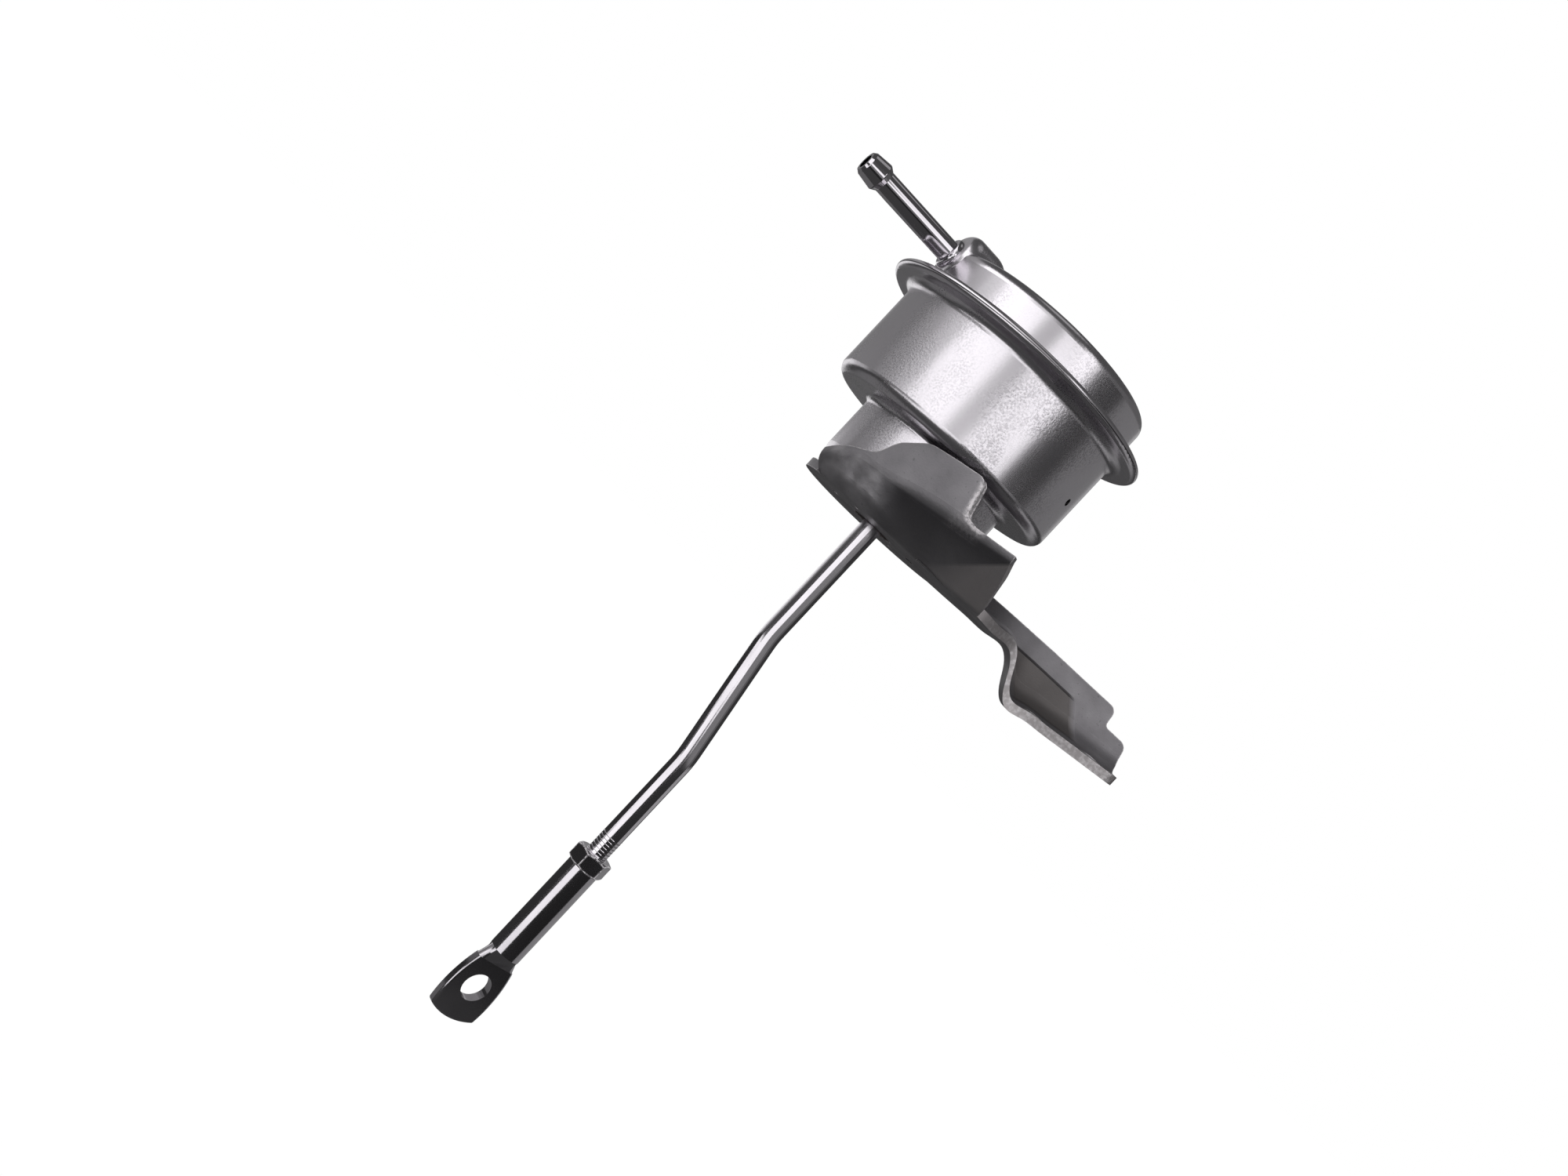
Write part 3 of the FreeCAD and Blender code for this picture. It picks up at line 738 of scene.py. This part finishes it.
# Lug's corner: a broad painted highlight laid over its real edge wear.
LUG_CORNER_WEAR_AND_HIGHLIGHT = (("Radius", 0.0022), ("From X", 0.0105), ("To X", 0.0210), ("From Z", 0.0060))
BRACKET_STEEL = Finish(
    name="bracket_steel", colour=(0.31, 0.298, 0.315), tone=(0.215, 0.206, 0.22),
    rough=(0.40, 0.52), bump=0.000030, metallic=0.85,
    accents=(
        Accent(Effect.WALL_SHADE, (0.185, 0.178, 0.188)),
        # Painted shade: the sunk panel is darkened in colour, besides its real dent.
        Accent(Effect.SHADED_PRESSED_PANEL, (0.15, 0.139, 0.138), relief=-0.00030),
        Accent(Effect.PRESS_MARKS, (0.62, 0.595, 0.625), relief=0.00022),
        # Painted shade below the fold between lug and apron.
        Accent(Effect.FOLD_SHADE, (0.13, 0.125, 0.135)),
        worn_and_highlight_edge((0.70, 0.672, 0.69), radius=0.0004),
        # Painted light: the corner that turns towards the light is lightened in colour.
        Accent(Effect.LIT_TURNED_FOOT, (0.43, 0.403, 0.41)),
        # Painted shade in the crease between base and apron.
        Accent(Effect.CREASE_SHADE, (0.05, 0.048, 0.052), matt=0.6),
        # Painted highlight along the lug's corner, over real edge wear.
        Accent(Effect.EDGE_WEAR_AND_HIGHLIGHT, (0.95, 0.902, 0.93), LUG_CORNER_WEAR_AND_HIGHLIGHT, matt=0.8),
        Accent(Effect.CUT_EDGE, (0.66, 0.634, 0.65)),
    ),
)
ROD_STEEL = Finish(
    name="push_rod_steel", colour=(0.78, 0.749, 0.79), tone=(0.70, 0.672, 0.71),
    rough=(0.08, 0.14), bump=0.0000012,
)
NUT_STEEL = Finish(
    name="lock_nut_steel", colour=(0.45, 0.432, 0.46), tone=(0.38, 0.365, 0.39),
    rough=(0.14, 0.22), bump=0.000002,
    # Painted highlight on the nut's corners, white and nearly matt, over real edge wear.
    accents=(worn_and_highlight_edge((1.00, 0.96, 1.00), radius=0.0006, matt=0.95),),
)
ROD_END_STEEL = Finish(
    name="rod_end_steel", colour=(0.60, 0.576, 0.61), tone=(0.52, 0.499, 0.53),
    rough=(0.10, 0.16), bump=0.000002,
    accents=(worn_and_highlight_edge((0.80, 0.768, 0.80), radius=0.0003),),
)
SPRING_STEEL = Finish(
    name="spring_steel", colour=(0.30, 0.288, 0.31), tone=(0.20, 0.192, 0.21),
    rough=(0.30, 0.45), bump=0.000006,
)
PLAIN_STEEL = Finish(
    name="plain_steel", colour=(0.55, 0.55, 0.56), tone=(0.42, 0.42, 0.43),
    rough=(0.28, 0.42), bump=0.000005,
)
PISTON_ALLOY = Finish(
    name="piston_alloy", colour=(0.72, 0.73, 0.75), tone=(0.60, 0.61, 0.63),
    rough=(0.30, 0.42), bump=0.000006,
)
GUIDE_BRASS = Finish(
    name="guide_brass", colour=(0.72, 0.53, 0.25), tone=(0.55, 0.38, 0.16),
    rough=(0.26, 0.40), bump=0.000005,
)
RUBBER = Finish(
    name="diaphragm_rubber", colour=(0.022, 0.022, 0.023), tone=(0.035, 0.035, 0.036),
    rough=(0.62, 0.78), bump=0.000012, metallic=0.0,
)


def dress_node(name: str, finish: Finish) -> None:
    """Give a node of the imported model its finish, and report it.

    Args:
        name: The node.
        finish: The finish.
    """
    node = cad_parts[name]
    if not node.material_slots:
        node.data.materials.append(None)
    for part in node.material_slots:
        part.material = finish.material()
    LOG.info("%s dressed in %s", name, finish.name)


@dataclass
class SubAssembly:
    """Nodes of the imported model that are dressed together.

    Attributes:
        finishes: The finish of each node.
    """

    finishes: dict[str, Finish] = field(default_factory=dict)

    def dress(self) -> None:
        """Give each node its finish."""
        for name, finish in self.finishes.items():
            dress_node(name, finish)


def add_piece(
    name: str, mesh: bmesh.types.BMesh, finish: Finish, body: Body | None
) -> bpy.types.Object:
    """Turn a finished bmesh into a piece of the model.

    Args:
        name: The piece's name.
        mesh: Its shape, in metres in the model's frame. It is freed.
        finish: Its finish.
        body: The body it rides on, or None to leave it on no body.

    Returns:
        The new object.
    """
    bmesh.ops.remove_doubles(mesh, verts=mesh.verts, dist=MERGE_DISTANCE)
    bmesh.ops.recalc_face_normals(mesh, faces=mesh.faces)
    data = bpy.data.meshes.new(name)
    for face in mesh.faces:
        face.smooth = True
    mesh.to_mesh(data)
    mesh.free()
    data.materials.append(finish.material())
    piece = bpy.data.objects.new(name, data)
    bpy.context.scene.collection.objects.link(piece)
    if body:
        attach(piece, body.value)
    LOG.info("%s built with %d faces", name, len(data.polygons))
    return piece


@dataclass
class Canister(SubAssembly):
    """Crimped pressure canister: can, cap and hose nipple."""

    finishes: dict[str, Finish] = field(
        default_factory=lambda: {
            "lower_can": CAN_STEEL,
            "cap": CAP_STEEL,
            "hose_nipple": NIPPLE_STEEL,
        }
    )


@dataclass
class Bracket(SubAssembly):
    """Pressed bracket that carries the canister."""

    finishes: dict[str, Finish] = field(default_factory=lambda: {"bracket": BRACKET_STEEL})


def follow_piston(piece: bpy.types.Object, node: str) -> None:
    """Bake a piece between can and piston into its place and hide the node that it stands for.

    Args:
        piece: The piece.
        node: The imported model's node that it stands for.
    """
    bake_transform(piece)
    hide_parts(node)


@dataclass
class ReturnSpring:
    """Compression spring between the nose's floor and the cup.

    Attributes:
        coil: Mean radius of the coils.
        wire: Wire diameter.
        low: Where it rests on its seat.
        high: Where it presses on the cup.
        end_pitch: Pitch of the first and last coil, which lie nearly closed.
        turns: Coils, the two end coils included.
        sides: Steps round one turn.
        wire_sides: Sides of the wire's section.
    """

    coil: float = 16.0
    wire: float = 2.6
    low: float = 4.3
    high: float = 60.7
    end_pitch: float = 3.0
    turns: int = 6
    sides: int = 40
    wire_sides: int = 14

    def build(self) -> None:
        """Spin the wire's section in three runs: end coil, open coils, end coil."""
        mesh = bmesh.new()
        radius = self.wire / 2.0
        made = bmesh.ops.create_circle(
            mesh, cap_ends=True, segments=self.wire_sides, radius=radius * MM,
            matrix=Matrix.Translation((self.coil * MM, 0.0, (self.low + radius) * MM))
            @ Matrix.Rotation(math.radians(90.0), 4, "X"),
        )
        section = list({face for vert in made["verts"] for face in vert.link_faces})
        rise = self.high - self.low - self.wire - 2.0 * self.end_pitch
        runs = ((1, self.end_pitch), (self.turns - 2, rise), (1, self.end_pitch))
        for number, (turns, height) in enumerate(runs):
            steps = self.sides * turns
            made = bmesh.ops.spin(
                mesh, geom=section, cent=(0.0, 0.0, 0.0), axis=(0.0, 0.0, 1.0),
                dvec=(0.0, 0.0, height * MM / steps), angle=2.0 * math.pi * turns,
                steps=steps, use_merge=False,
            )
            if number:
                bmesh.ops.delete(mesh, geom=section, context="FACES_ONLY")
            section = [part for part in made["geom_last"]
                       if isinstance(part, bmesh.types.BMFace)]
        spring = add_piece("spring_coils", mesh, SPRING_STEEL, None)
        follow_piston(spring, "return_spring")


@dataclass
class RollingDiaphragm:
    """Rubber diaphragm: clamped rim, one folded leg, flat centre on the cup.

    Attributes:
        thickness: Rubber thickness.
        hole: Radius of the hole for the rod.
        centre: Height of the flat centre's underside.
        rim: Height of the clamped rim's underside.
        rim_end: Outer radius of the rim.
        inner_leg: Inner radius of the leg beside the cup.
        outer_leg: Outer radius of the leg beside the can.
        roll: Lowest point of the fold.
        bend: Radius over the cup's edge.
        flare: Radius where the leg turns out into the rim.
        sides: Steps round it.
        arc_steps: Steps in a quarter of a bend.
    """

    thickness: float = 0.5
    hole: float = 2.6
    centre: float = 61.9
    rim: float = 54.8
    rim_end: float = 41.3
    inner_leg: float = 28.1
    outer_leg: float = 34.5
    roll: float = 49.0
    bend: float = 2.6
    flare: float = 3.8
    sides: int = 96
    arc_steps: int = 8

    def skin(self, lift: float) -> list[tuple[float, float]]:
        """One skin of the profile, from the hole to the rim.

        Args:
            lift: Distance of this skin from the lower one.

        Returns:
            Radius and height of each point.
        """
        fold = (self.outer_leg - self.inner_leg) / 2.0
        middle = self.inner_leg + fold
        floor = self.roll + fold
        steps = self.arc_steps
        points = [(self.hole, self.centre + lift)]
        for k in range(steps + 1):
            turn = math.pi / 2.0 * (1.0 - k / steps)
            points.append((self.inner_leg - self.bend + (self.bend + lift) * math.cos(turn),
                           self.centre - self.bend + (self.bend + lift) * math.sin(turn)))
        for k in range(2 * steps + 1):
            turn = math.pi * (1.0 + k / (2.0 * steps))
            points.append((middle + (fold - lift) * math.cos(turn),
                           floor + (fold - lift) * math.sin(turn)))
        for k in range(steps + 1):
            turn = math.pi - math.pi / 2.0 * k / steps
            points.append((self.outer_leg + self.flare + (self.flare + lift) * math.cos(turn),
                           self.rim - self.flare + (self.flare + lift) * math.sin(turn)))
        return points + [(self.rim_end, self.rim + lift)]

    def build(self) -> None:
        """Spin the profile once round the axis."""
        mesh = bmesh.new()
        ring = self.skin(0.0) + self.skin(self.thickness)[::-1]
        verts = [mesh.verts.new((r * MM, 0.0, z * MM)) for r, z in ring]
        edges = [mesh.edges.new(pair) for pair in zip(verts, verts[1:] + verts[:1])]
        bmesh.ops.spin(
            mesh, geom=verts + edges, cent=(0.0, 0.0, 0.0), axis=(0.0, 0.0, 1.0),
            angle=2.0 * math.pi, steps=self.sides, use_merge=True,
        )
        skin = add_piece("diaphragm_roll", mesh, RUBBER, None)
        follow_piston(skin, "diaphragm")


@dataclass
class Piston(SubAssembly):
    """Sealed piston group with its spring, diaphragm and guide.

    Attributes:
        spring: The spring's visible piece.
        diaphragm: The diaphragm's visible piece.
    """

    spring: ReturnSpring = field(default_factory=ReturnSpring)
    diaphragm: RollingDiaphragm = field(default_factory=RollingDiaphragm)
    finishes: dict[str, Finish] = field(
        default_factory=lambda: {
            "piston_cup": PISTON_ALLOY,
            "piston_plate": PISTON_ALLOY,
            "head_washer": PLAIN_STEEL,
            "backing_washer": PLAIN_STEEL,
            "return_spring": SPRING_STEEL,
            "spring_seat": PLAIN_STEEL,
            "rod_guide": GUIDE_BRASS,
            "diaphragm": RUBBER,
        }
    )

    def build(self) -> None:
        """Build the two pieces that change shape as the rod slides."""
        self.spring.build()
        self.diaphragm.build()


@dataclass
class PushRod(SubAssembly):
    """Push rod with its thread, lock nut and pressed rod end.

    Attributes:
        offset: Sideways place of the rod's lower end.
        crest: Outer radius of the thread.
        crest_half: Half the width of the thread's crest.
        root: Inner radius of the thread.
        pitch: Thread pitch.
        top: Where the thread starts.
        bottom: Where the nut hides it.
        sides: Steps round one turn.
    """

    offset: float = 6.0
    crest: float = 3.06
    crest_half: float = 0.06
    root: float = 2.80
    pitch: float = 1.0
    top: float = -106.7
    bottom: float = -114.0
    sides: int = 48
    finishes: dict[str, Finish] = field(
        default_factory=lambda: {
            "rod": ROD_STEEL,
            "lock_nut": NUT_STEEL,
            "rod_end": ROD_END_STEEL,
        }
    )

    def build_thread(self) -> None:
        """Spin one tooth down the rod as a helix."""
        mesh = bmesh.new()
        half = self.pitch / 2.0
        outline = [(self.root, half), (self.crest, self.crest_half),
                   (self.crest, -self.crest_half), (self.root, -half)]
        start = [mesh.verts.new(((self.offset + r) * MM, 0.0, (self.top + z) * MM))
                 for r, z in outline]
        edges = [mesh.edges.new(pair) for pair in zip(start, start[1:])]
        turns = (self.top - self.bottom) / self.pitch
        bmesh.ops.spin(
            mesh,
            geom=start + edges,
            cent=(self.offset * MM, 0.0, 0.0),
            axis=(0.0, 0.0, 1.0),
            dvec=(0.0, 0.0, -self.pitch * MM / self.sides),
            angle=2.0 * math.pi * turns,
            steps=int(self.sides * turns),
            use_merge=False,
        )
        add_piece("rod_thread", mesh, ROD_STEEL, Body.PUSH_ROD)


@dataclass(frozen=True)
class CardRing:
    """Ring of studio cards that only reflections see.

    Attributes:
        name: Name of its cards.
        edge: Ends of the edge that is spun round the canister's axis, as (radius, height).
        bands: (first azimuth, brightness) of each card; it ends where the next one starts.
            Azimuths are degrees from the camera's side, positive towards the arm.
    """

    name: str
    edge: tuple[tuple[float, float], tuple[float, float]]
    bands: tuple[tuple[float, float], ...]


CARD_RADIUS = 1200.0
LID_RADIUS = 350.0
HUB_RADIUS = 2.0
BASE_Z, FOOT_Z, LOW_Z, MID_Z, MAIN_Z, TOP_Z, LID_Z = (
    -555.0, -340.0, -180.0, 110.0, 400.0, 1040.0, 1500.0)


def upright(low: float, high: float) -> tuple[tuple[float, float], tuple[float, float]]:
    """Edge of a ring of upright cards.

    Args:
        low: Height of its lower end.
        high: Height of its upper end.

    Returns:
        Both ends, as (radius, height).
    """
    return (CARD_RADIUS, low), (CARD_RADIUS, high)


CARD_RINGS = (
    CardRing("card_main", upright(MID_Z, MAIN_Z), (
        (-98.0, 0.30), (-76.0, 0.60), (-58.0, 1.50), (-14.0, 0.55), (6.0, 1.50), (48.0, 0.03),
        (88.0, 0.20), (150.0, 0.45), (200.0, 0.20))),
    CardRing("card_mid", upright(LOW_Z, MID_Z), (
        (-170.0, 1.00), (-132.0, 0.55), (-108.0, 0.15), (-88.0, 0.07), (-38.0, 1.25),
        (14.0, 0.22), (72.0, 0.12), (92.0, 0.04), (182.0, 0.15))),
    CardRing("card_low", upright(FOOT_Z, LOW_Z), (
        (-72.0, 1.20), (-8.0, 0.03), (86.0, 0.35), (135.0, 0.08), (205.0, 0.03))),
    CardRing("card_foot", upright(BASE_Z, FOOT_Z), (
        (-54.0, 1.50), (-12.0, 0.02), (88.0, 0.32), (170.0, 0.12), (205.0, 0.04))),
    CardRing("card_upper", upright(MAIN_Z, TOP_Z), (
        (-180.0, 0.30), (-95.0, 1.50), (-35.0, 0.80), (-8.0, 0.30), (12.0, 0.10), (31.0, 1.40),
        (46.0, 0.12))),
    CardRing("card_top", ((CARD_RADIUS, TOP_Z), (LID_RADIUS, LID_Z)), ((-180.0, 0.08),)),
    CardRing("card_lid", ((LID_RADIUS, LID_Z), (HUB_RADIUS, LID_Z)), ((-180.0, 0.40),)),
    CardRing("card_bottom", ((CARD_RADIUS, BASE_Z), (HUB_RADIUS, BASE_Z)), (
        (-180.0, 0.16), (-95.0, 0.06))),
)


@dataclass(frozen=True)
class Lamp:
    """Square soft lamp that faces the object and shows in no reflection.

    Attributes:
        name: Lamp name.
        place: Its place.
        size: Its side.
        power: Its power in watts.
    """

    name: str
    place: tuple[float, float, float]
    size: float
    power: float


LAMPS = (
    Lamp("lamp_key", (-500.0, -700.0, 900.0), 700.0, 6.0),
    Lamp("lamp_fill", (700.0, -600.0, 300.0), 700.0, 2.0),
)


@dataclass
class Studio:
    """Floor, reflection cards, lamps, world and camera.

    Attributes:
        floor_z: Height of the floor.
        floor_size: Half the floor's side.
        floor_colour: Colour of the floor under its glow.
        floor_rough: Roughness of the floor.
        floor_glow: Strength of the glow that shows the floor white.
        floor_share: Share of the glow in what the camera sees.
        camera_place: The camera's place.
        camera_right: The image's right direction.
        camera_up: The image's up direction.
        sensor: Width of the sensor.
        lens: Focal length.
        clip_start: Nearest distance that the camera shows.
        world_level: Strength of the light that falls on the object from all round.
        rings: The reflection cards.
        card_turn: Degrees of a card's curve in one step.
        card_steps: Fewest steps of a card.
        lamps: The lamps.
    """

    floor_z: float = -560.0
    floor_size: float = 20000.0
    floor_colour: tuple[float, float, float, float] = (0.40, 0.40, 0.40, 1.0)
    floor_rough: float = 0.9
    floor_glow: float = 1.03
    floor_share: float = 0.97
    camera_place: tuple[float, float, float] = (-5.9, -416.7, -27.9)
    camera_right: tuple[float, float, float] = (0.7302, 0.0, 0.6833)
    camera_up: tuple[float, float, float] = (-0.6833, 0.0, 0.7302)
    sensor: float = 36.0
    lens: float = 36.0
    clip_start: float = 10.0
    world_level: float = 0.42
    rings: tuple[CardRing, ...] = CARD_RINGS
    card_turn: float = 5.0
    card_steps: int = 4
    lamps: tuple[Lamp, ...] = LAMPS

    def emitter(self, name: str, level: float) -> bpy.types.Material:
        """Even card material.

        Args:
            name: Material name.
            level: Emission strength.

        Returns:
            The material.
        """
        material = bpy.data.materials.new(name)
        material.use_nodes = True
        tree = material.node_tree
        tree.nodes.remove(tree.nodes["Principled BSDF"])
        glow = tree.nodes.new("ShaderNodeEmission")
        glow.inputs["Color"].default_value = WHITE
        glow.inputs["Strength"].default_value = level
        tree.links.new(glow.outputs[0], tree.nodes["Material Output"].inputs["Surface"])
        return material

    def hang_ring(self, ring: CardRing) -> None:
        """Hang a ring's cards, each an edge spun round the canister's axis.

        Args:
            ring: The ring.
        """
        ends = [start for start, _ in ring.bands[1:]] + [ring.bands[0][0] + 360.0]
        for number, ((start, level), end) in enumerate(zip(ring.bands, ends)):
            mesh = bmesh.new()
            turn = Matrix.Rotation(math.radians(start), 3, "Z")
            verts = [mesh.verts.new(turn @ Vector((0.0, -radius, z)) * MM)
                     for radius, z in ring.edge]
            edge = mesh.edges.new(verts)
            bmesh.ops.spin(
                mesh,
                geom=verts + [edge],
                cent=(0.0, 0.0, 0.0),
                axis=(0.0, 0.0, 1.0),
                angle=math.radians(end - start),
                steps=max(self.card_steps, int((end - start) / self.card_turn)),
                use_merge=False,
            )
            self.place_card(f"{ring.name}_{number}", mesh, level)

    def place_card(self, name: str, mesh: bmesh.types.BMesh, level: float) -> None:
        """Put one card in the scene, seen by reflections alone.

        Args:
            name: The card's name.
            mesh: Its shape. It is freed.
            level: Its brightness.
        """
        data = bpy.data.meshes.new(name)
        mesh.to_mesh(data)
        mesh.free()
        data.materials.append(self.emitter(name, level))
        card = bpy.data.objects.new(name, data)
        bpy.context.scene.collection.objects.link(card)
        card.visible_camera = False
        card.visible_diffuse = False
        card.visible_shadow = False

    def lay_floor(self) -> None:
        """Lay the pale floor: it shows white and keeps a soft shadow."""
        mesh = bmesh.new()
        bmesh.ops.create_grid(
            mesh, x_segments=1, y_segments=1, size=self.floor_size * MM,
            matrix=Matrix.Translation((0.0, 0.0, self.floor_z * MM)),
        )
        data = bpy.data.meshes.new("floor")
        mesh.to_mesh(data)
        mesh.free()
        material = bpy.data.materials.new("floor_white")
        material.use_nodes = True
        tree = material.node_tree
        shader = tree.nodes["Principled BSDF"]
        shader.inputs["Base Color"].default_value = self.floor_colour
        shader.inputs["Roughness"].default_value = self.floor_rough
        glow = tree.nodes.new("ShaderNodeEmission")
        glow.inputs["Strength"].default_value = self.floor_glow
        path = tree.nodes.new("ShaderNodeLightPath")
        share = math_node(tree, "MULTIPLY", path.outputs["Is Camera Ray"], self.floor_share)
        mix = tree.nodes.new("ShaderNodeMixShader")
        tree.links.new(share, mix.inputs["Fac"])
        tree.links.new(shader.outputs[0], mix.inputs[1])
        tree.links.new(glow.outputs[0], mix.inputs[2])
        tree.links.new(mix.outputs[0], tree.nodes["Material Output"].inputs["Surface"])
        data.materials.append(material)
        floor = bpy.data.objects.new("floor", data)
        bpy.context.scene.collection.objects.link(floor)

    def light_world(self) -> None:
        """World light: plain grey light, shown white to the camera and in reflections."""
        world = bpy.data.worlds.new("studio")
        bpy.context.scene.world = world
        world.use_nodes = True
        tree = world.node_tree
        back = tree.nodes["Background"]
        back.inputs["Color"].default_value = WHITE
        path = tree.nodes.new("ShaderNodeLightPath")
        shown = math_node(tree, "MAXIMUM", path.outputs["Is Camera Ray"],
                          path.outputs["Is Glossy Ray"])
        shown = math_node(tree, "MAXIMUM", shown, path.outputs["Is Transmission Ray"])
        tree.links.new(remap(tree, shown, to_low=self.world_level), back.inputs["Strength"])

    def hang_lamp(self, lamp: Lamp) -> None:
        """Hang a lamp.

        Args:
            lamp: The lamp.
        """
        light = bpy.data.lights.new(lamp.name, "AREA")
        light.shape = "SQUARE"
        light.size = lamp.size * MM
        light.energy = lamp.power
        holder = bpy.data.objects.new(lamp.name, light)
        holder.location = Vector(lamp.place) * MM
        holder.rotation_euler = (-holder.location).to_track_quat("-Z", "Y").to_euler()
        holder.visible_glossy = False
        bpy.context.scene.collection.objects.link(holder)

    def place_camera(self) -> None:
        """Place the camera at the photograph's viewing angle."""
        data = bpy.data.cameras.new("camera")
        data.sensor_width = self.sensor
        data.lens = self.lens
        data.clip_start = self.clip_start * MM
        camera = bpy.data.objects.new("camera", data)
        right = Vector(self.camera_right).normalized()
        up = Vector(self.camera_up).normalized()
        back = right.cross(up)
        turn = Matrix((right, up, back)).transposed().to_4x4()
        camera.matrix_world = Matrix.Translation(Vector(self.camera_place) * MM) @ turn
        bpy.context.scene.collection.objects.link(camera)
        bpy.context.scene.camera = camera

    def build(self) -> None:
        """Set up the whole studio."""
        self.place_camera()
        self.lay_floor()
        for ring in self.rings:
            self.hang_ring(ring)
        self.light_world()
        for lamp in self.lamps:
            self.hang_lamp(lamp)
        view = bpy.context.scene.view_settings
        view.view_transform = "Standard"
        LOG.info("studio ready with %d card rings", len(self.rings))


def main() -> None:
    """Build and dress every sub-assembly, then the studio."""
    logging.basicConfig(level=logging.INFO, format="%(name)s: %(message)s")
    Studio().build()
    Canister().dress()
    Bracket().dress()
    piston = Piston()
    piston.dress()
    piston.build()
    rod = PushRod()
    rod.dress()
    rod.build_thread()


if __name__ == "__main__":
    main()
